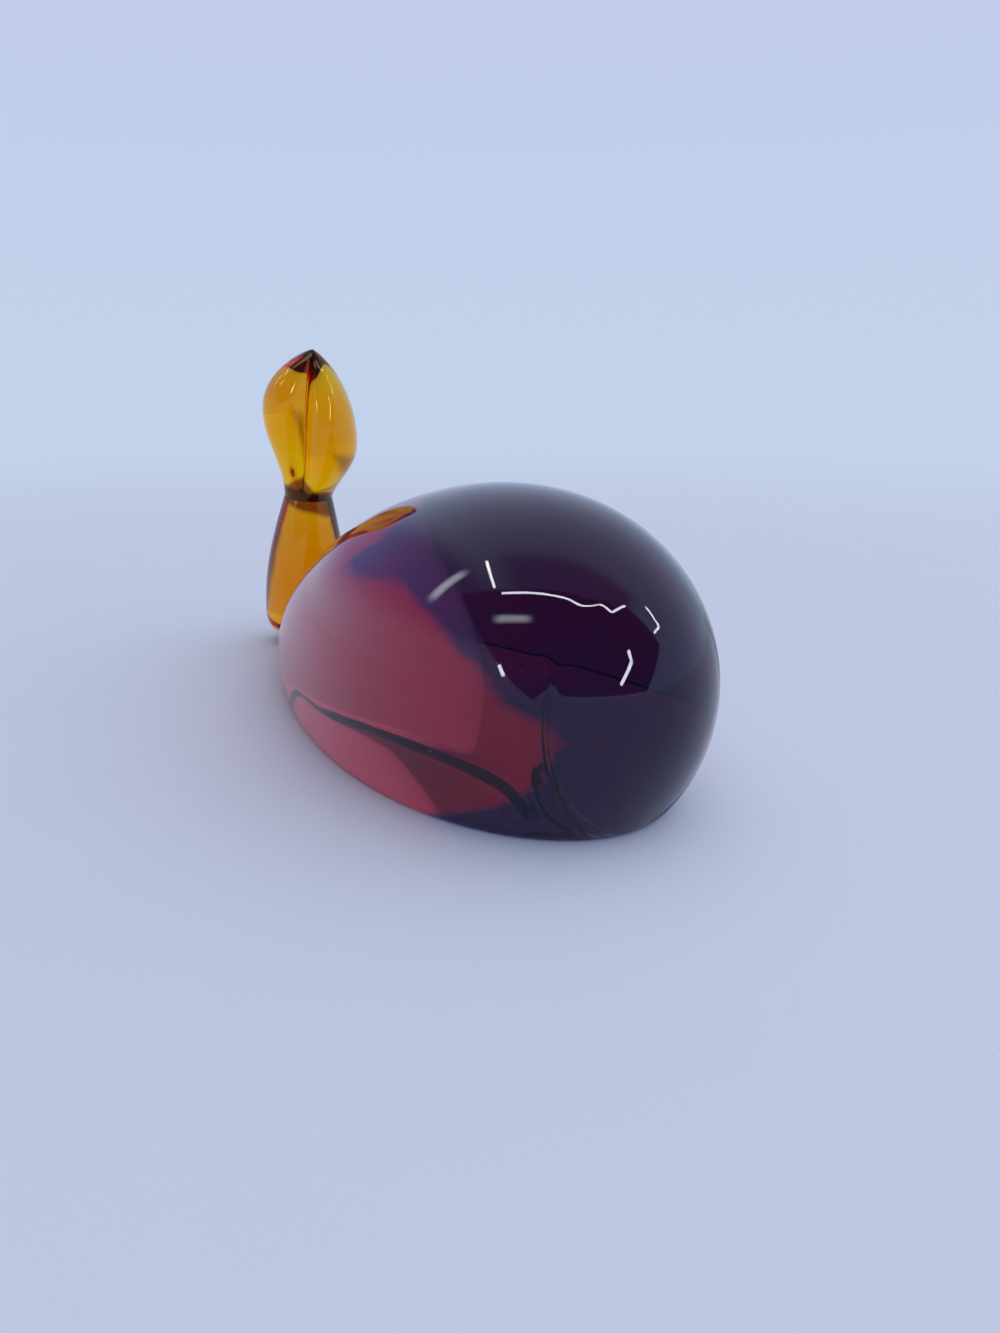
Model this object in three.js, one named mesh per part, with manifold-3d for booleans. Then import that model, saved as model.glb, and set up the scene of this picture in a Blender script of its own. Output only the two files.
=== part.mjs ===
// A solid glass whale ornament: a long egg-shaped body ground flat underneath, with a leaning tail
// of three hot-worked bits on its rear end: a stem and two plump fluke lobes, side by side.
// Millimetres. +X is the head end, +Z is up, and the origin is on the flat base.
import * as THREE from "three";
import { mergeVertices } from "three/addons/utils/BufferGeometryUtils.js";
import Module from "manifold-3d";

const wasm = await Module();
wasm.setup();

// Body
const BODY_LENGTH = 124.7; // nose to rear end, without the tail
const BODY_WIDTH = 54.3;
const ROUND_HEIGHT = 63.2; // of the round body, before its underside is ground away
const AXIS_HEIGHT = 11; // middle of the body's axis above the flat base
const AXIS_TILT = 7.2; // degrees, the axis rises towards the head
const HEAD_FULLNESS = 0.3; // how much fuller the head half is than the tail half

// Tail stem
const TAIL_LEAN = 9.7; // degrees, forward
const ROOT_BEHIND = 3.7; // root centre behind the body's rear end
const ROOT_HEIGHT = 11.6; // root centre above the flat base
const ROOT_DIAMETER = 18.6;
const ROOT_DROP = 9.7; // blunt lower end of the root, below its centre
const WAIST_RISE = 23.7; // pinched waist above the root centre, along the tail
const WAIST_DIAMETER = 10.7;

// Flukes
const FLUKE_HEIGHT = 32; // waist to tip, along the tail
const FLUKE_SPREAD = 21; // both lobes together, from side to side
const FLUKE_DEPTH = 15.2; // from front to back
const FLUKE_TURN = 35; // degrees, the left lobe turned forward from straight across
const CLEFT_DEPTH = 3.5; // groove between the lobes, on each side
const LEFT_WIDEST = 11.9; // where the left lobe is fullest, above the waist
const RIGHT_WIDEST = 19.1; // where the right lobe is fullest, above the waist
const LEFT_EASE = 1.45; // how soon the left lobe draws in towards the waist
const RIGHT_EASE = 2.1; // how soon the right lobe draws in towards the waist
const TIP_SHARPNESS = 0.78; // 0.5 is a round end and 1 a pointed one

// Seam between two fused bits
const SEAM = 0.3;

// Fineness of the curved surfaces
const BODY_STEPS = 36;
const BODY_SIDES = 56;
const STEM_STEPS = 16;
const FLUKE_STEPS = 20;
const TAIL_SIDES = 32;

const ROUGHNESS = 0.05;
const ruby = new THREE.MeshStandardMaterial({ color: 0x7b2438, roughness: ROUGHNESS, metalness: 0 });
const amber = new THREE.MeshStandardMaterial({ color: 0xcb8a0c, roughness: ROUGHNESS, metalness: 0 });

// A closed geometry as a solid that can be cut
function solidOf(geometry) {
  const bare = geometry.clone();
  bare.deleteAttribute("normal");
  bare.deleteAttribute("uv");
  const merged = mergeVertices(bare);
  const vertProperties = merged.attributes.position.array;
  const triVerts = new Uint32Array(merged.index.array);
  return new wasm.Manifold(new wasm.Mesh({ numProp: 3, vertProperties, triVerts }));
}

// A solid as a named mesh
function meshOf(solid, name, material) {
  const { vertProperties, triVerts } = solid.getMesh();
  const geometry = new THREE.BufferGeometry();
  geometry.setAttribute("position", new THREE.BufferAttribute(vertProperties, 3));
  geometry.setIndex(new THREE.BufferAttribute(triVerts, 1));
  geometry.computeVertexNormals();
  const mesh = new THREE.Mesh(geometry, material);
  mesh.name = name;
  return mesh;
}

// A block from one corner to the opposite one
function block(low, high) {
  const size = high.clone().sub(low);
  const centre = low.clone().add(high).multiplyScalar(0.5);
  const geometry = new THREE.BoxGeometry(size.x, size.y, size.z);
  return solidOf(geometry.translate(centre.x, centre.y, centre.z));
}

// Body: an upright oval section all along, fuller towards the head
const axisRise = new THREE.Matrix4().makeShear(0, Math.tan(THREE.MathUtils.degToRad(AXIS_TILT)), 0, 0, 0, 0);

// The round body before it is ground, grown all over by a margin
function roundBody(margin) {
  const angles = Array.from({ length: BODY_STEPS + 1 }, (_, i) => Math.PI * (1 - i / BODY_STEPS));
  const radii = angles.map((angle) => Math.sin(angle) * (1 + HEAD_FULLNESS * Math.cos(angle)));
  const fullest = Math.max(...radii);
  const profile = angles.map((angle, i) => new THREE.Vector2(radii[i] / fullest, Math.cos(angle)));
  profile[0].x = 0;
  profile[BODY_STEPS].x = 0;
  const geometry = new THREE.LatheGeometry(profile, BODY_SIDES).rotateZ(-Math.PI / 2);
  geometry.scale(BODY_LENGTH / 2 + margin, BODY_WIDTH / 2 + margin, ROUND_HEIGHT / 2 + margin);
  return geometry.applyMatrix4(axisRise).translate(0, 0, AXIS_HEIGHT);
}

function makeBody() {
  const low = new THREE.Vector3(-BODY_LENGTH, -BODY_WIDTH, -ROUND_HEIGHT);
  const high = new THREE.Vector3(BODY_LENGTH, BODY_WIDTH, 0);
  const ground = solidOf(roundBody(0)).subtract(block(low, high));
  return meshOf(ground, "body", ruby);
}

// Tail: its own frame has the root centre as origin and the leaning stem along +Z
const tail = new THREE.Group();
tail.position.set(-BODY_LENGTH / 2 - ROOT_BEHIND, 0, ROOT_HEIGHT);
tail.rotation.y = THREE.MathUtils.degToRad(TAIL_LEAN);
tail.updateMatrixWorld();

const rootRadius = ROOT_DIAMETER / 2;
const waistRadius = WAIST_DIAMETER / 2;

function stemRadius(height) {
  if (height < 0) return rootRadius * (1 - (height / ROOT_DROP) ** 4) ** 0.25;
  const narrowing = Math.cos((Math.PI / 2) * (height / WAIST_RISE));
  return waistRadius + (rootRadius - waistRadius) * narrowing;
}

function makeStem() {
  const top = WAIST_RISE - SEAM / 2;
  const profile = [];
  for (let i = 0; i <= STEM_STEPS; i++) {
    const height = -ROOT_DROP * Math.cos((Math.PI / 2) * (i / STEM_STEPS));
    profile.push(new THREE.Vector2(stemRadius(height), height));
  }
  for (let i = 1; i <= STEM_STEPS; i++) {
    const height = (top * i) / STEM_STEPS;
    profile.push(new THREE.Vector2(stemRadius(height), height));
  }
  profile.push(new THREE.Vector2(0, top));
  const round = new THREE.LatheGeometry(profile, TAIL_SIDES).rotateX(Math.PI / 2);
  const bodySeat = roundBody(SEAM).applyMatrix4(tail.matrixWorld.clone().invert());
  return meshOf(solidOf(round).subtract(solidOf(bodySeat)), "tail_stem", amber);
}

// Flukes: their frame has the middle of the waist as origin, the left lobe on +X and the right one on -X
const flukes = new THREE.Group();
flukes.position.z = WAIST_RISE;
flukes.rotation.z = THREE.MathUtils.degToRad(90 - FLUKE_TURN);

// How far a lobe reaches at a height above the waist: it swells from the waist and closes at the tip
function lobeReach(height, full, widest, ease) {
  if (height > widest) {
    const share = (height - widest) / (FLUKE_HEIGHT - widest);
    const closing = Math.max(0, 1 - share ** 2); // rounding can put the tip just past its height
    return full * closing ** TIP_SHARPNESS;
  }
  const swelling = Math.cos((Math.PI / 2) * (1 - height / widest)) ** ease;
  return waistRadius + (full - waistRadius) * swelling;
}

// One lobe: oval sections beside the cleft, which cuts both lobes flat where they meet
function makeFluke(name, side, widest, ease) {
  const bottom = SEAM / 2;
  const profile = [new THREE.Vector2(0, bottom)];
  for (let i = 0; i <= FLUKE_STEPS; i++) {
    const share = Math.sin((Math.PI / 2) * (i / FLUKE_STEPS));
    profile.push(new THREE.Vector2(1, bottom + (FLUKE_HEIGHT - bottom) * share));
  }
  const geometry = new THREE.LatheGeometry(profile, TAIL_SIDES).rotateX(Math.PI / 2);
  const meeting = 1 - CLEFT_DEPTH / (FLUKE_DEPTH / 2);
  const offset = Math.sqrt(1 - meeting ** 2);
  const points = geometry.attributes.position;
  for (let i = 0; i < points.count; i++) {
    const height = points.getZ(i);
    const reach = lobeReach(height, FLUKE_SPREAD / 2, widest, ease);
    const half = reach / (1 + offset);
    const x = side * offset * half + half * points.getX(i);
    const y = lobeReach(height, FLUKE_DEPTH / 2, widest, ease) * points.getY(i);
    points.setXYZ(i, x, y, height);
  }
  const inner = side * (SEAM / 2);
  const outer = -side * FLUKE_SPREAD;
  const low = new THREE.Vector3(Math.min(inner, outer), -FLUKE_DEPTH, -FLUKE_HEIGHT);
  const high = new THREE.Vector3(Math.max(inner, outer), FLUKE_DEPTH, 2 * FLUKE_HEIGHT);
  return meshOf(solidOf(geometry).subtract(block(low, high)), name, amber);
}

flukes.add(makeFluke("left_fluke", 1, LEFT_WIDEST, LEFT_EASE));
flukes.add(makeFluke("right_fluke", -1, RIGHT_WIDEST, RIGHT_EASE));
tail.add(makeStem());
tail.add(flukes);

const whale = new THREE.Group();
whale.name = "glass_whale";
whale.add(makeBody());
whale.add(tail);

export default whale;
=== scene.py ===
# A solid glass whale ornament on a pale floor in a soft studio tent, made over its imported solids. Metres.
import math

import bmesh
import bpy
import numpy as np
from mathutils import Matrix, Vector, noise


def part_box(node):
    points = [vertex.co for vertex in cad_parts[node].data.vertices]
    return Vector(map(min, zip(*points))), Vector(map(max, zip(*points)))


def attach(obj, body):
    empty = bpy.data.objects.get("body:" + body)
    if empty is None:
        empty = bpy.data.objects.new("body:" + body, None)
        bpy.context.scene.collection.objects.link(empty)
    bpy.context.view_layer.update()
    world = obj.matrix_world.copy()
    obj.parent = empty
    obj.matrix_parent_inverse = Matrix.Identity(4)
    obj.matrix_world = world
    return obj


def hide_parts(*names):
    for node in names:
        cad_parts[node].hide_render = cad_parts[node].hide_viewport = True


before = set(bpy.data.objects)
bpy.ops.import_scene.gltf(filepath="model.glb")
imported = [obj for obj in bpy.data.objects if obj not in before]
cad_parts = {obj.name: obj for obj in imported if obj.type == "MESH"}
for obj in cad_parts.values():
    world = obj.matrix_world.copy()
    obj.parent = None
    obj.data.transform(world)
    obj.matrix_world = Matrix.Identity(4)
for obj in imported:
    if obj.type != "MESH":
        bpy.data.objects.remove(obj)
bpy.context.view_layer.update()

MM = 0.001

# Body: its length and width come from the frame
HALF_ROUND = 31.6 * MM
AXIS_HEIGHT = 11 * MM
AXIS_RISE = math.tan(math.radians(7.2))
HEAD_FULLNESS = 0.3
BASE_ROUND = 0.8 * MM
WAVE_HEIGHT = 0.10 * MM
WAVE_LENGTH = 24 * MM
WAVE_FADE = 9 * MM

# Tail stem
TAIL_LEAN = math.radians(9.7)
ROOT_BEHIND = 3.7 * MM
ROOT_HEIGHT = 11.6 * MM
ROOT_RADIUS = 9.3 * MM
ROOT_DROP = 9.7 * MM
ROOT_BLUNTNESS = 4
ROOT_FLARE = 4 * MM
WAIST_RISE = 23.7 * MM
WAIST_RADIUS = 5.35 * MM

# Flukes: the rounding of the cleft is a share of a lobe's half width
FLUKE_HEIGHT = 32 * MM
FLUKE_REACH = 10.5 * MM
FLUKE_HALF_DEPTH = 7.6 * MM
FLUKE_TURN = math.radians(35)
CLEFT_DEPTH = 3.5 * MM
CLEFT_START = 7 * MM
CLEFT_ROUND = 0.1
LEFT_WIDEST = 11.9 * MM
LEFT_EASE = 1.45
RIGHT_WIDEST = 19.1 * MM
RIGHT_EASE = 2.1
TIP_SHARPNESS = 0.78

# How far fused pieces reach into each other
FUSED = 0.1 * MM

# Fineness of the meshes: faces thinner than a sliver are dissolved after a cut
BODY_RINGS = 170
BODY_SIDES = 420
EDGE_CROWD = 12
EDGE_REACH = 1.5 * BASE_ROUND
TURN_STEPS = 6000
PROFILE_STEPS = 2000
STEM_RINGS = 120
TAIL_SIDES = 128
FLUKE_RINGS = 110
FLAT_POINTS = 9
SLIVER = 0.01 * MM
SHARP_ANGLE = math.radians(50)

# Glass: what it absorbs is per metre, of red, green and blue light
GLASS_IOR = 1.52
RUBY_ABSORBS = (12, 38, 26)
RUBY_GLOSS = (0.62, 0.74, 1, 1)
RUBY_GLOSS_LEVEL = 0.8
RUBY_CASING = (0.9, 0.39, 0.32, 1)
AMBER_ABSORBS = (2, 69, 600)
AMBER_GLOSS = (1, 0.88, 0.4, 1)
AMBER_GLOSS_LEVEL = 0.5
CLEAR = (1, 1, 1, 1)

# Overlay on the head and the top of the back, plum above and navy below
PLUM = (0.10, 0.10, 0.65, 1)
PLUM_EDGE = 57 * MM
PLUM_MIDDLE = 14.5 * MM
PLUM_REACH = 9 * MM
PLUM_CURVE = 1.65
PLUM_BACK = 30.5 * MM
PLUM_REAR = 6 * MM
PLUM_SOFT = 2.2 * MM
PLUM_STREAK = (30 * MM, 7 * MM, 7 * MM)
PLUM_STREAK_DETAIL = 2
PLUM_STRAY = 14 * MM
NAVY = (0.008, 0.35, 1, 1)
NAVY_TOP = 30 * MM
NAVY_REAR = 20 * MM
NAVY_FADE = 14 * MM
SWIRL_SIZE = 15 * MM
SWIRL_DETAIL = 3
SWIRL_SHARE = 2.2

# Painted dark reflection: a plum band around the waist of the tail and a streak down one side of its stem,
# standing in for the dark body and surroundings seen in the glass
PAINTED_DARK_REFLECTION = (0.10, 0.02, 0.12, 1)
REFLECTION_RING_TILT = Vector((0.11, 0.20, 0))
REFLECTION_RING_HALF = 2.3 * MM
REFLECTION_SOFT = 0.7 * MM
REFLECTION_STRAY = 1.2 * MM
REFLECTION_LUMPS = 5 * MM
REFLECTION_DETAIL = 2
REFLECTION_SIDE = Vector((-0.47, -0.88, 0))
REFLECTION_OUT = 7.9 * MM
REFLECTION_NARROWING = 0.14

# Fire-polished finish, with smudges, ripples and specks of dust
POLISHED = 0.004
SMUDGED = 0.035
SMUDGE_SIZE = 14 * MM
SMUDGE_DETAIL = 5
SMUDGE_SPREAD = (0.45, 0.7)
RIPPLE_SIZE = 7 * MM
RIPPLE_DETAIL = 1
RIPPLE_HEIGHT = 0.012 * MM
SPECK_SPACING = 3.5 * MM
SPECK_RADIUS = 0.14 * MM
SPECK_ROUGHNESS = 0.5
SPECK_HEIGHT = 0.02 * MM

# Floor
FLOOR_RADIUS = 2.5
FLOOR_SIDES = 128
FLOOR_DROP = 0.05 * MM
FLOOR_FADE = (0.15, 0.75)
PAPER = (0.88, 0.90, 0.80, 1)
PAPER_SHADE = (0.855, 0.875, 0.785, 1)
PAPER_CLOUD = 35 * MM
PAPER_CLOUD_DETAIL = 4
PAPER_GRAIN = 0.5 * MM
PAPER_GRAIN_DETAIL = 3
PAPER_DEPTH = 0.02 * MM
PAPER_SMOOTHEST = 0.62
PAPER_ROUGHEST = 0.8
PAPER_GLOSS = 0.2

# Camera
PHOTO_HEIGHT = 1333
FOCAL_PIXELS = 1000
SENSOR = 36
CAMERA_AZIMUTH = math.radians(-28)
CAMERA_ELEVATION = math.radians(15.82)
CAMERA_DISTANCE = 181.3 * MM
CAMERA_AIM = Vector((0, 0, AXIS_HEIGHT))
CAMERA_SHIFT = (63.5, -4.4)
CLIP_START = 5 * MM
FORWARD = Vector((math.cos(CAMERA_AZIMUTH), math.sin(CAMERA_AZIMUTH), 0))
RIGHT = Vector((-FORWARD.y, FORWARD.x, 0))
UP = Vector((0, 0, 1))


# Studio, as directions seen from the object
def toward(forward, right, up):
    """A direction with shares towards the camera, to its right and up."""
    return (FORWARD * forward + RIGHT * right + UP * up).normalized()


HORIZON = (0.546, 0.644, 0.831, 1)
BACKDROP = (0.533, 0.610, 0.831, 1)
BACKDROP_GRADE = 0.3

# Soft light from above and the right, for the floor
SOFT_LAMP = toward(0.2, 0.65, 0.73)
SOFT_START = -0.3
SOFT_FAR = (0.06, 0.065, 0.097, 1)
SOFT_NEAR = (0.912, 0.988, 1.474, 1)

# What the glass mirrors: the tent, its dim areas, a dark opening under an arch, and lamps
TENT_LEFT = (0.51, 0.63, 0.86, 1)
TENT_RIGHT = (0.64, 0.79, 1.08, 1)
DIM = (0.28, 0.28, 0.58, 1)
DIM_CEILING = (toward(1, -0.35, 0.15), toward(0.47, 1, 0.83), toward(-0.2, -1, 1))
DIM_CEILING_SOFT = 0.22
DIM_LEFT = (toward(-0.13, 0.18, 0.87), toward(0, -1, -0.75))
DIM_LEFT_SOFT = 0.2
OPENING = (0.10, 0.10, 0.28, 1)
OPENING_SIDES = (toward(1, 1.14, 1.68), toward(1, -0.28, -0.25), toward(1, -0.95, 1.26), toward(0, 0, 1))
OPENING_SOFT = 0.02
ARCH = (toward(0.02, -0.83, 0.55), toward(0.16, -0.64, 0.75), toward(0.34, -0.34, 0.88),
        toward(0.52, 0.09, 0.85), toward(0.50, 0.34, 0.80), toward(0.34, 0.50, 0.80))

# Lamps: how much of the half width is fully lit and how softly the ends fade, then each lamp's
# points, half width, softness and light
CRISP = (0.7, 0.006)
HAZY = (0.1, 0.06)
STRIP = (25, 21, 18, 1)
PATCH = (6, 5.5, 5, 1)
GLOW = (6, 5.5, 5.5, 1)
TOP_LEFT_LAMP = (toward(-0.20, -0.57, 0.80), toward(0.08, -0.66, 0.75))
RIGHT_LAMP = (toward(0.16, 0.71, 0.69), toward(0.20, 0.84, 0.51), toward(0.33, 0.80, 0.50))
LEFT_LAMP = (toward(-0.20, -0.87, 0.46), toward(-0.20, -0.71, 0.68))
LOW_LEFT_LAMP = (toward(0.56, -0.80, 0.23), toward(0.62, -0.77, 0.14))
LOW_RIGHT_LAMP = (toward(0.72, 0.51, 0.46), toward(0.76, 0.55, 0.34), toward(0.90, 0.41, 0.12))
PATCH_LAMP = (toward(0.32, -0.75, 0.58), toward(0.50, -0.54, 0.68))
LAMPS = (
    (ARCH[1:], 0.014, CRISP, STRIP),
    (TOP_LEFT_LAMP, 0.012, CRISP, STRIP),
    (RIGHT_LAMP, 0.014, CRISP, STRIP),
    (LEFT_LAMP, 0.05, HAZY, GLOW),
    (LOW_LEFT_LAMP, 0.02, CRISP, STRIP),
    (LOW_RIGHT_LAMP, 0.025, CRISP, STRIP),
    (PATCH_LAMP, 0.06, HAZY, PATCH),
)

# How often light may bounce inside the glass
BOUNCES = 32
GLOSSY_BOUNCES = 16


# Meshes

def smooth_max(value, floor, reach):
    """The larger of a value and a floor, with the corner between them rounded."""
    near = np.maximum(reach - np.abs(value - floor), 0) / reach
    return np.maximum(value, floor) + near ** 2 * reach / 4


def ring_mesh(name, rings, start=None, end=None):
    """A closed piece from rings of points, with an end point or a flat face at each end."""
    count = len(rings[0])
    points = [tuple(point) for ring in rings for point in ring]
    faces = []
    for i in range(len(rings) - 1):
        here, there = i * count, (i + 1) * count
        for j in range(count):
            k = (j + 1) % count
            faces.append((here + j, here + k, there + k, there + j))
    last = (len(rings) - 1) * count
    for point, first, turn in ((start, 0, -1), (end, last, 1)):
        loop = [first + j for j in range(count)][::turn]
        if point is None:
            faces.append(loop)
            continue
        points.append(tuple(point))
        tip = len(points) - 1
        faces.extend((tip, loop[j], loop[(j + 1) % count]) for j in range(count))
    mesh = bpy.data.meshes.new(name)
    mesh.from_pydata(points, [], faces)
    mesh.validate()
    mesh.shade_smooth()
    piece = bpy.data.objects.new(name, mesh)
    bpy.context.scene.collection.objects.link(piece)
    return piece


def dissolve_slivers(mesh):
    """Dissolves the slivers that a cut leaves, and then points that only two edges share."""
    shape = bmesh.new()
    shape.from_mesh(mesh)
    bmesh.ops.dissolve_degenerate(shape, dist=SLIVER, edges=shape.edges)
    spare = [point for point in shape.verts if len(point.link_edges) == 2]
    bmesh.ops.dissolve_verts(shape, verts=spare)
    shape.to_mesh(mesh)
    shape.free()


def cut_by(piece, cutter):
    """Cuts a piece with another one, which is then deleted."""
    cut = piece.modifiers.new("cut", "BOOLEAN")
    cut.operation = "DIFFERENCE"
    cut.solver = "EXACT"
    cut.object = cutter
    graph = bpy.context.evaluated_depsgraph_get()
    mesh = bpy.data.meshes.new_from_object(piece.evaluated_get(graph))
    dissolve_slivers(mesh)
    piece.modifiers.clear()
    piece.data = mesh
    bpy.data.objects.remove(cutter)
    mesh.set_sharp_from_angle(angle=SHARP_ANGLE)


# Body: an upright oval section all along, fuller towards the head
body_low, body_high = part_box("body")
HALF_LENGTH = (body_high.x - body_low.x) / 2
HALF_WIDTH = (body_high.y - body_low.y) / 2


def fullness(angle):
    return np.sin(angle) * (1 + HEAD_FULLNESS * np.cos(angle))


FULLEST = fullness(np.linspace(0, math.pi, PROFILE_STEPS)).max()


def axis_height(along):
    return AXIS_HEIGHT + AXIS_RISE * along


def body_wave(point):
    """Slow waves in the surface, which fade out towards the base."""
    fade = min(max(point[2] / WAVE_FADE, 0), 1)
    return fade * WAVE_HEIGHT * noise.noise(Vector(point) / WAVE_LENGTH)


def ring_turns(centre, half):
    """Turns around a section, closer together where it meets the base."""
    turn = np.linspace(0.5 * math.pi, 2.5 * math.pi, TURN_STEPS)
    height = centre + half * np.sin(turn)
    crowd = 1 + EDGE_CROWD * np.exp(-(height / EDGE_REACH) ** 2)
    total = np.concatenate([[0], np.cumsum((crowd[1:] + crowd[:-1]) / 2)])
    return np.interp(np.linspace(0, total[-1], BODY_SIDES, endpoint=False), total, turn)


def body_ring(angle, margin):
    """A section of the body, flat at the base with a rounded edge."""
    radius = fullness(angle) / FULLEST
    along = (HALF_LENGTH + margin) * math.cos(angle)
    centre = axis_height(along)
    turn = ring_turns(centre, (HALF_ROUND + margin) * radius)
    y = (HALF_WIDTH + margin) * radius * np.cos(turn)
    z = (HALF_ROUND + margin) * radius * np.sin(turn)
    ring = np.stack([np.full(BODY_SIDES, along), y, z + centre], axis=1)
    grow = np.array([body_wave(point) for point in ring]) / HALF_WIDTH
    ring[:, 1] += y * grow
    ring[:, 2] += z * grow
    ring[:, 2] = smooth_max(ring[:, 2], 0, BASE_ROUND)
    return ring


def make_body(name, margin=0.0):
    angles = math.pi * np.arange(1, BODY_RINGS) / BODY_RINGS
    rings = [body_ring(angle, margin) for angle in angles[::-1]]
    nose = HALF_LENGTH + margin
    start = Vector((-nose, 0, axis_height(-nose)))
    end = Vector((nose, 0, axis_height(nose)))
    return ring_mesh(name, rings, start=start, end=end)


def body_distance(point):
    """How far a point is outside the body, near its surface."""
    along = min(max(point.x / HALF_LENGTH, -1), 1)
    radius = math.sqrt(1 - along ** 2) * (1 + HEAD_FULLNESS * along) / FULLEST
    across = math.hypot(point.y / HALF_WIDTH, (point.z - axis_height(point.x)) / HALF_ROUND)
    past_end = abs(point.x) - HALF_LENGTH
    return max((across - radius) * HALF_WIDTH, past_end)


# Tail: its own frame has the root centre as origin and the leaning stem along +Z
tail_root = Vector((-HALF_LENGTH - ROOT_BEHIND, 0, ROOT_HEIGHT))
tail_place = Matrix.Translation(tail_root) @ Matrix.Rotation(TAIL_LEAN, 4, "Y")
tail_axis = tail_place.to_3x3() @ UP
fluke_turn = Matrix.Rotation(math.pi / 2 - FLUKE_TURN, 4, "Z")
fluke_place = tail_place @ Matrix.Translation((0, 0, WAIST_RISE)) @ fluke_turn


def stem_radius(height):
    """A blunt end below the root, and above it a taper to the waist."""
    if height < 0:
        return ROOT_RADIUS * max(0, 1 - (height / ROOT_DROP) ** ROOT_BLUNTNESS) ** (1 / ROOT_BLUNTNESS)
    narrowing = math.cos(math.pi / 2 * min(height / WAIST_RISE, 1))
    return WAIST_RADIUS + (ROOT_RADIUS - WAIST_RADIUS) * narrowing


def stem_ring(height):
    """A round section of the stem, flared where it runs into the body."""
    ring = []
    for j in range(TAIL_SIDES):
        turn = 2 * math.pi * j / TAIL_SIDES
        outward = Vector((math.cos(turn), math.sin(turn), 0))
        point = outward * stem_radius(height) + Vector((0, 0, height))
        near = max(0, 1 - abs(body_distance(tail_place @ point)) / ROOT_FLARE)
        ring.append(tail_place @ (point + outward * near ** 2 * ROOT_FLARE / 4))
    return ring


def make_stem():
    lower = [-ROOT_DROP * math.cos(math.pi / 2 * i / STEM_RINGS) for i in range(1, STEM_RINGS)]
    upper = [(WAIST_RISE + FUSED) * i / STEM_RINGS for i in range(STEM_RINGS + 1)]
    rings = [stem_ring(height) for height in lower + upper]
    piece = ring_mesh("amber_stem", rings, start=tail_place @ Vector((0, 0, -ROOT_DROP)))
    cut_by(piece, make_body("stem_seat", -FUSED))
    return piece


def lobe_reach(height, full, widest, ease):
    """How far a lobe reaches at a height: it swells from the waist and closes at the tip."""
    if height > widest:
        share = (height - widest) / (FLUKE_HEIGHT - widest)
        return full * max(0, 1 - share ** 2) ** TIP_SHARPNESS
    swelling = math.cos(math.pi / 2 * (1 - max(height, 0) / widest)) ** ease
    return WAIST_RADIUS + (full - WAIST_RADIUS) * swelling


def ease_in(share):
    """A rise from 0 to 1 that starts and ends softly."""
    share = min(max(share, 0), 1)
    return share ** 2 * (3 - 2 * share)


def lobe_ring(height, side, widest, ease):
    """An oval section on its own side of the cleft, then back along the flat face in the cleft."""
    depth = lobe_reach(height, FLUKE_HALF_DEPTH, widest, ease)
    meeting = 1 - CLEFT_DEPTH / FLUKE_HALF_DEPTH * ease_in(height / CLEFT_START)
    offset = math.sqrt(1 - meeting ** 2)
    half = lobe_reach(height, FLUKE_REACH, widest, ease) / (1 + offset)
    most = math.acos(-offset)
    inset = math.hypot(1 + offset, CLEFT_ROUND) - 1
    ring = []
    for turn in np.linspace(-most, most, TAIL_SIDES):
        x = offset + math.cos(turn)
        rounded = math.hypot(x, CLEFT_ROUND) - inset
        y = math.copysign(math.sqrt(1 - rounded ** 2), turn)
        ring.append((half * x, depth * y))
    low, high = ring[0][1], ring[-1][1]
    ring.extend((-FUSED, y) for y in np.linspace(high, low, FLAT_POINTS))
    return [fluke_place @ Vector((side * x, side * y, height)) for x, y in ring]


def make_fluke(name, side, widest, ease):
    shares = [math.sin(math.pi / 2 * i / FLUKE_RINGS) for i in range(FLUKE_RINGS)]
    heights = [-FUSED + (FLUKE_HEIGHT + FUSED) * share for share in shares]
    rings = [lobe_ring(height, side, widest, ease) for height in heights]
    piece = ring_mesh(name, rings, end=fluke_place @ Vector((0, 0, FLUKE_HEIGHT)))
    piece.data.set_sharp_from_angle(angle=SHARP_ANGLE)
    return piece


# Node trees

def add(tree, kind, values=None, **settings):
    """A node whose inputs are set to values or linked to sockets."""
    node = tree.nodes.new(kind)
    for name, setting in settings.items():
        setattr(node, name, setting)
    for name, value in (values or {}).items():
        if isinstance(value, bpy.types.NodeSocket):
            tree.links.new(value, node.inputs[name])
        else:
            node.inputs[name].default_value = value
    return node


def calc(tree, operation, *values):
    return add(tree, "ShaderNodeMath", dict(enumerate(values)), operation=operation).outputs[0]


def fold(tree, operation, values):
    """One result from many values, two at a time."""
    total = values[0]
    for value in values[1:]:
        total = calc(tree, operation, total, value)
    return total


def ramp(tree, value, low, high):
    """A smooth rise from 0 at low to 1 at high."""
    limits = {"Value": value, "From Min": low, "From Max": high}
    return add(tree, "ShaderNodeMapRange", limits, interpolation_type="SMOOTHSTEP").outputs[0]


def between(tree, share, low, high):
    """A value that goes from low to high as a share goes from 0 to 1."""
    limits = {"Value": share, "To Min": low, "To Max": high}
    return add(tree, "ShaderNodeMapRange", limits).outputs[0]


def mixed(tree, share, first, second):
    """A colour between two others: a Mix node's colours are its inputs 6 and 7, and output 2."""
    return add(tree, "ShaderNodeMix", {0: share, 6: first, 7: second}, data_type="RGBA").outputs[2]


def project(tree, vector, direction):
    """How far a vector reaches in a direction."""
    product = add(tree, "ShaderNodeVectorMath", {0: vector, 1: direction}, operation="DOT_PRODUCT")
    return product.outputs["Value"]


def beyond(tree, place, start, direction):
    """How far a place lies past a start point in a direction."""
    return calc(tree, "SUBTRACT", project(tree, place, direction), direction.dot(start))


def grain(tree, place, size, detail):
    """Soft noise from 0 to 1, in lumps of a size."""
    values = {"Vector": place, "Scale": 1 / size, "Detail": detail}
    return add(tree, "ShaderNodeTexNoise", values).outputs[0]


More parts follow.
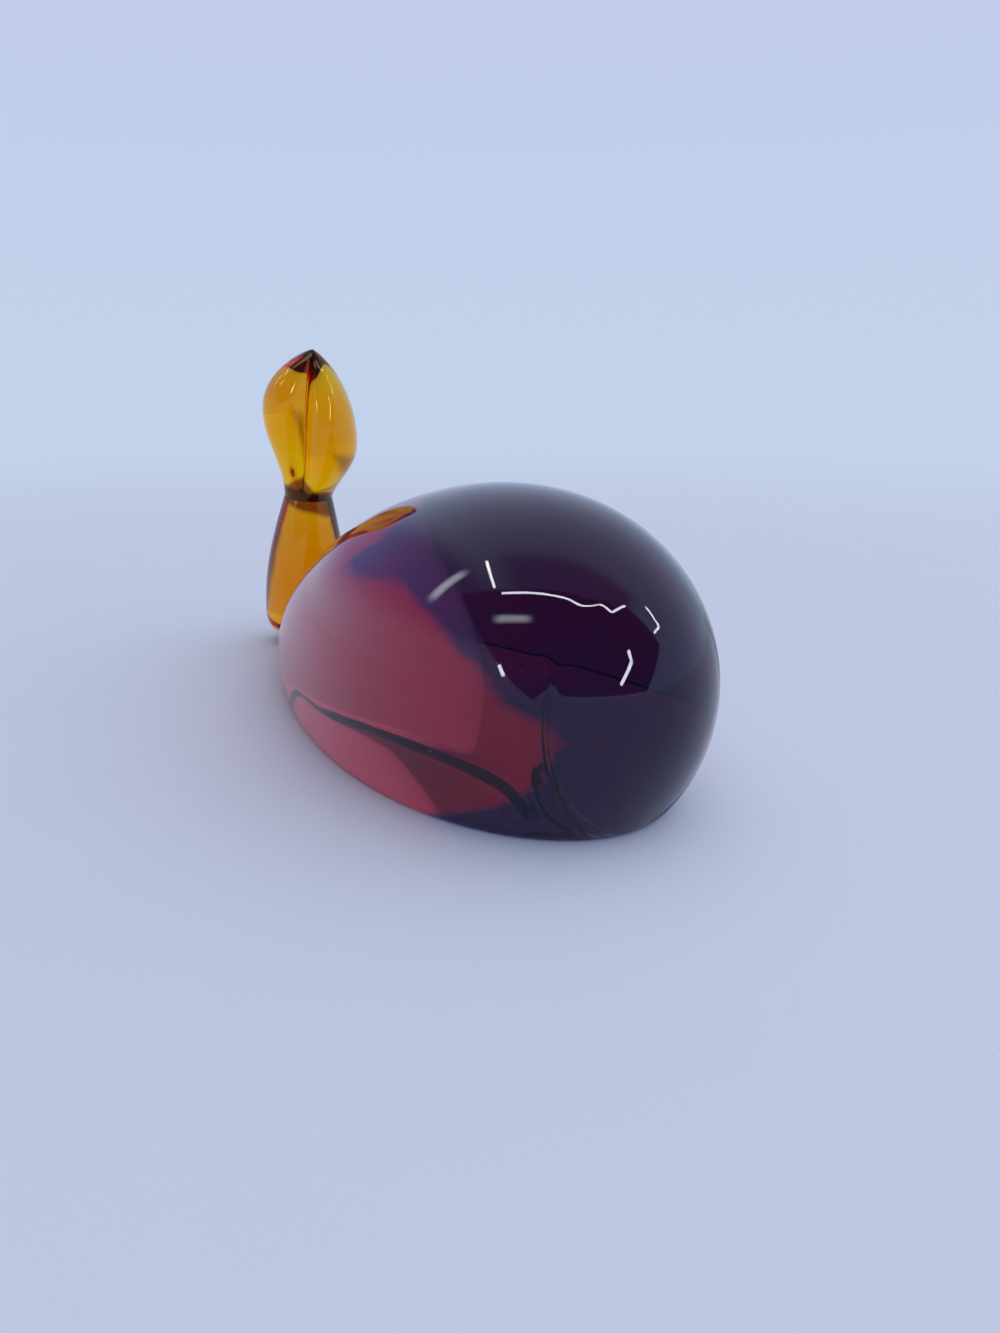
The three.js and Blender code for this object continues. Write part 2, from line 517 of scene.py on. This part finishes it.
def stray(tree, place, size, detail, reach):
    """Soft noise to both sides of 0."""
    return calc(tree, "MULTIPLY", calc(tree, "SUBTRACT", grain(tree, place, size, detail), 0.5), reach)


def bump(tree, height, distance, under=None):
    """A normal bent by a height, over another bump if one is given."""
    values = {"Strength": 1.0, "Distance": distance, "Height": height}
    if under:
        values["Normal"] = under
    return add(tree, "ShaderNodeBump", values).outputs[0]


def bare_material(name):
    material = bpy.data.materials.new(name)
    material.use_nodes = True
    material.node_tree.nodes.clear()
    return material


# Glass

def glass(name, absorbs, gloss, gloss_level):
    """Solid glass that takes its colour from its depth. Returns the material and its surface node."""
    material = bare_material(name)
    tree = material.node_tree
    density = max(absorbs)
    passes = [1 - part / density for part in absorbs]
    surface = add(tree, "ShaderNodeBsdfPrincipled", {
        "Base Color": CLEAR, "Roughness": POLISHED, "IOR": GLASS_IOR, "Transmission Weight": 1.0,
        "Specular Tint": gloss, "Specular IOR Level": gloss_level})
    volume = add(tree, "ShaderNodeVolumeAbsorption", {"Color": (*passes, 1), "Density": density})
    add(tree, "ShaderNodeOutputMaterial", {"Surface": surface.outputs[0], "Volume": volume.outputs[0]})
    return material, surface


def fire_polish(tree, surface, place):
    """A handled polish: faint smudges, slow ripples and a few specks of dust."""
    smudges = ramp(tree, grain(tree, place, SMUDGE_SIZE, SMUDGE_DETAIL), *SMUDGE_SPREAD)
    spacing = add(tree, "ShaderNodeTexVoronoi", {"Vector": place, "Scale": 1 / SPECK_SPACING})
    specks = ramp(tree, spacing.outputs["Distance"], SPECK_RADIUS / SPECK_SPACING, 0.0)
    handled = between(tree, smudges, POLISHED, SMUDGED)
    dusty = calc(tree, "MULTIPLY", specks, SPECK_ROUGHNESS)
    ripples = bump(tree, grain(tree, place, RIPPLE_SIZE, RIPPLE_DETAIL), RIPPLE_HEIGHT)
    tree.links.new(calc(tree, "MAXIMUM", handled, dusty), surface.inputs["Roughness"])
    tree.links.new(bump(tree, specks, SPECK_HEIGHT, ripples), surface.inputs["Normal"])


def overlay_share(tree, place, x, z):
    """1 on the head and the top of the back and 0 elsewhere, with a streaky edge."""
    stretched = add(tree, "ShaderNodeVectorMath", {0: place, 1: PLUM_STREAK}, operation="DIVIDE").outputs[0]
    streaks = stray(tree, stretched, 1, PLUM_STREAK_DETAIL, PLUM_STRAY)
    off_middle = calc(tree, "DIVIDE", calc(tree, "SUBTRACT", z, PLUM_MIDDLE), PLUM_REACH)
    drawn_in = calc(tree, "POWER", calc(tree, "ABSOLUTE", off_middle), PLUM_CURVE)
    edge_at = calc(tree, "SUBTRACT", PLUM_EDGE, calc(tree, "MULTIPLY", drawn_in, PLUM_REACH))
    head = calc(tree, "SUBTRACT", x, edge_at)
    above = calc(tree, "SUBTRACT", z, PLUM_BACK)
    before = calc(tree, "SUBTRACT", calc(tree, "SUBTRACT", x, PLUM_REAR), above)
    inside = calc(tree, "MINIMUM", calc(tree, "MAXIMUM", head, above), before)
    return ramp(tree, calc(tree, "ADD", inside, streaks), -PLUM_SOFT, PLUM_SOFT)


def overlay_colour(tree, place, x, z):
    """Plum on the dome that swirls into navy low down and at the rear."""
    swirl = stray(tree, place, SWIRL_SIZE, SWIRL_DETAIL, SWIRL_SHARE)
    high = calc(tree, "SUBTRACT", z, NAVY_TOP)
    ahead = calc(tree, "SUBTRACT", x, NAVY_REAR)
    level = calc(tree, "DIVIDE", calc(tree, "MINIMUM", high, ahead), NAVY_FADE)
    return mixed(tree, ramp(tree, calc(tree, "ADD", level, swirl), -1.0, 1.0), NAVY, PLUM)


def ruby_glass():
    """A rose core in a ruby casing, under a thin overlay on the head and the top of the back."""
    material, surface = glass("ruby_glass", RUBY_ABSORBS, RUBY_GLOSS, RUBY_GLOSS_LEVEL)
    tree = material.node_tree
    place = add(tree, "ShaderNodeTexCoord").outputs["Object"]
    axes = add(tree, "ShaderNodeSeparateXYZ", {0: place}).outputs
    share = overlay_share(tree, place, axes["X"], axes["Z"])
    overlay = overlay_colour(tree, place, axes["X"], axes["Z"])
    tree.links.new(mixed(tree, share, RUBY_CASING, overlay), surface.inputs["Base Color"])
    fire_polish(tree, surface, place)
    return material


def painted_reflection_share(tree, place):
    """1 where dark reflection is painted, on a ring around the waist and a streak down one side of the
    stem, and 0 elsewhere.
    """
    wander = stray(tree, place, REFLECTION_LUMPS, REFLECTION_DETAIL, REFLECTION_STRAY)
    ring_axis = (tail_axis + REFLECTION_RING_TILT).normalized()
    above = calc(tree, "ADD", wander, beyond(tree, place, fluke_place.translation, ring_axis))
    ring = ramp(tree, calc(tree, "ABSOLUTE", above), REFLECTION_RING_HALF + REFLECTION_SOFT, REFLECTION_RING_HALF - REFLECTION_SOFT)
    height = beyond(tree, place, tail_root, tail_axis)
    side = (REFLECTION_SIDE - tail_axis * REFLECTION_SIDE.dot(tail_axis)).normalized()
    tapered = calc(tree, "MULTIPLY_ADD", height, REFLECTION_NARROWING, beyond(tree, place, tail_root, side))
    outward = calc(tree, "ADD", wander, tapered)
    outermost = ramp(tree, outward, REFLECTION_OUT - REFLECTION_SOFT, REFLECTION_OUT + REFLECTION_SOFT)
    streak = calc(tree, "MULTIPLY", outermost, ramp(tree, above, REFLECTION_RING_HALF, -REFLECTION_RING_HALF))
    return calc(tree, "MAXIMUM", ring, streak)


def amber_glass():
    """Amber right through, with a thin plum band and streak of painted dark reflection."""
    material, surface = glass("amber_glass", AMBER_ABSORBS, AMBER_GLOSS, AMBER_GLOSS_LEVEL)
    tree = material.node_tree
    place = add(tree, "ShaderNodeTexCoord").outputs["Object"]
    # The plum band and streak are painted dark reflection of the body and surroundings, not colour in the
    # glass
    tree.links.new(mixed(tree, painted_reflection_share(tree, place), CLEAR, PAINTED_DARK_REFLECTION), surface.inputs["Base Color"])
    fire_polish(tree, surface, place)
    return material


# Studio

def edge(first, second):
    """A direction square to the arc between two others."""
    return first.cross(second).normalized()


def lamp(tree, direction, points, half_width, softness):
    """A lit strip along the arcs between points: 1 inside it and 0 outside."""
    core, fade = softness
    lit = []
    for first, second in zip(points, points[1:]):
        across = edge(first, second)
        off = calc(tree, "ABSOLUTE", project(tree, direction, across))
        past_first = project(tree, direction, across.cross(first))
        before_second = project(tree, direction, second.cross(across))
        within = calc(tree, "MINIMUM", past_first, before_second)
        wide = ramp(tree, off, half_width, core * half_width)
        lit.append(calc(tree, "MULTIPLY", wide, ramp(tree, within, -fade, fade)))
    return fold(tree, "MAXIMUM", lit)


def area(tree, direction, sides, soft):
    """1 where a direction lies in front of every side."""
    return ramp(tree, fold(tree, "MINIMUM", [project(tree, direction, side) for side in sides]), 0.0, soft)


def mirrored(tree, direction, lamps_show):
    """The studio that the glass mirrors."""
    across = ramp(tree, project(tree, direction, RIGHT), -1.0, 1.0)
    colour = mixed(tree, across, TENT_LEFT, TENT_RIGHT)
    colour = mixed(tree, area(tree, direction, DIM_CEILING, DIM_CEILING_SOFT), colour, DIM)
    colour = mixed(tree, area(tree, direction, DIM_LEFT, DIM_LEFT_SOFT), colour, DIM)
    arch_edges = [edge(first, second) for first, second in zip(ARCH, ARCH[1:])]
    under_arch = calc(tree, "SUBTRACT", 1.0, area(tree, direction, arch_edges, OPENING_SOFT))
    opening = calc(tree, "MULTIPLY", area(tree, direction, OPENING_SIDES, OPENING_SOFT), under_arch)
    colour = mixed(tree, opening, colour, OPENING)
    for points, half_width, softness, light in LAMPS:
        lit = lamp(tree, direction, points, half_width, softness)
        colour = mixed(tree, calc(tree, "MULTIPLY", lit, lamps_show), colour, light)
    return colour


def make_world():
    """A pale backdrop for the camera, the studio for the glass and a soft light for the rest."""
    world = bpy.data.worlds.new("tent")
    world.use_nodes = True
    tree = world.node_tree
    tree.nodes.clear()
    direction = add(tree, "ShaderNodeTexCoord").outputs["Generated"]
    rays = add(tree, "ShaderNodeLightPath").outputs
    glass_sees = calc(tree, "MAXIMUM", rays["Is Glossy Ray"], rays["Is Transmission Ray"])
    lamps_show = calc(tree, "SUBTRACT", 1.0, rays["Is Transmission Ray"])
    near_lamp = ramp(tree, project(tree, direction, SOFT_LAMP), SOFT_START, 1.0)
    soft = mixed(tree, near_lamp, SOFT_FAR, SOFT_NEAR)
    colour = mixed(tree, glass_sees, soft, mirrored(tree, direction, lamps_show))
    risen = ramp(tree, project(tree, direction, UP), 0.0, BACKDROP_GRADE)
    backdrop = mixed(tree, risen, HORIZON, BACKDROP)
    colour = mixed(tree, rays["Is Camera Ray"], colour, backdrop)
    shade = add(tree, "ShaderNodeBackground", {"Color": colour})
    add(tree, "ShaderNodeOutputWorld", {"Surface": shade.outputs[0]})
    bpy.context.scene.world = world


def floor_material():
    """Pale paper with a fine grain, which fades into the backdrop far from the object."""
    material = bare_material("floor_paper")
    tree = material.node_tree
    place = add(tree, "ShaderNodeTexCoord").outputs["Object"]
    clouds = grain(tree, place, PAPER_CLOUD, PAPER_CLOUD_DETAIL)
    fibres = grain(tree, place, PAPER_GRAIN, PAPER_GRAIN_DETAIL)
    surface = add(tree, "ShaderNodeBsdfPrincipled", {
        "Base Color": mixed(tree, clouds, PAPER, PAPER_SHADE),
        "Roughness": between(tree, fibres, PAPER_SMOOTHEST, PAPER_ROUGHEST),
        "Normal": bump(tree, fibres, PAPER_DEPTH), "Specular IOR Level": PAPER_GLOSS})
    rays = add(tree, "ShaderNodeLightPath").outputs
    seen_by = [rays["Is Camera Ray"], rays["Is Glossy Ray"], rays["Is Transmission Ray"]]
    seen = fold(tree, "MAXIMUM", seen_by)
    away = add(tree, "ShaderNodeVectorMath", {0: place}, operation="LENGTH").outputs["Value"]
    far = calc(tree, "MULTIPLY", ramp(tree, away, *FLOOR_FADE), seen)
    backdrop = add(tree, "ShaderNodeEmission", {"Color": HORIZON})
    faded = add(tree, "ShaderNodeMixShader", {0: far, 1: surface.outputs[0], 2: backdrop.outputs[0]})
    add(tree, "ShaderNodeOutputMaterial", {"Surface": faded.outputs[0]})
    return material


def make_floor():
    bpy.ops.mesh.primitive_circle_add(
        vertices=FLOOR_SIDES, radius=FLOOR_RADIUS, fill_type="NGON", location=(0, 0, -FLOOR_DROP))
    floor = bpy.context.object
    floor.name = "floor"
    floor.data.materials.append(floor_material())


def make_camera():
    camera = bpy.data.cameras.new("camera")
    camera.sensor_width = SENSOR
    camera.lens = FOCAL_PIXELS / PHOTO_HEIGHT * SENSOR
    camera.shift_x = CAMERA_SHIFT[0] / PHOTO_HEIGHT
    camera.shift_y = CAMERA_SHIFT[1] / PHOTO_HEIGHT
    camera.clip_start = CLIP_START
    holder = bpy.data.objects.new("camera", camera)
    bpy.context.scene.collection.objects.link(holder)
    back = FORWARD * math.cos(CAMERA_ELEVATION) + UP * math.sin(CAMERA_ELEVATION)
    holder.location = CAMERA_AIM + back * CAMERA_DISTANCE
    holder.rotation_euler = (-back).to_track_quat("-Z", "Y").to_euler()
    bpy.context.scene.camera = holder


def dress(piece, node, material):
    """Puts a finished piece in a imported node's place."""
    piece.data.materials.clear()
    piece.data.materials.append(material)
    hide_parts(node)
    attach(piece, "root")


ruby = ruby_glass()
amber = amber_glass()
dress(make_body("ruby_body"), "body", ruby)
dress(make_stem(), "tail_stem", amber)
dress(make_fluke("amber_left_fluke", 1, LEFT_WIDEST, LEFT_EASE), "left_fluke", amber)
dress(make_fluke("amber_right_fluke", -1, RIGHT_WIDEST, RIGHT_EASE), "right_fluke", amber)
make_floor()
make_world()
make_camera()

scene = bpy.context.scene
scene.view_settings.view_transform = "Standard"
scene.cycles.max_bounces = BOUNCES
scene.cycles.transmission_bounces = BOUNCES
scene.cycles.glossy_bounces = GLOSSY_BOUNCES
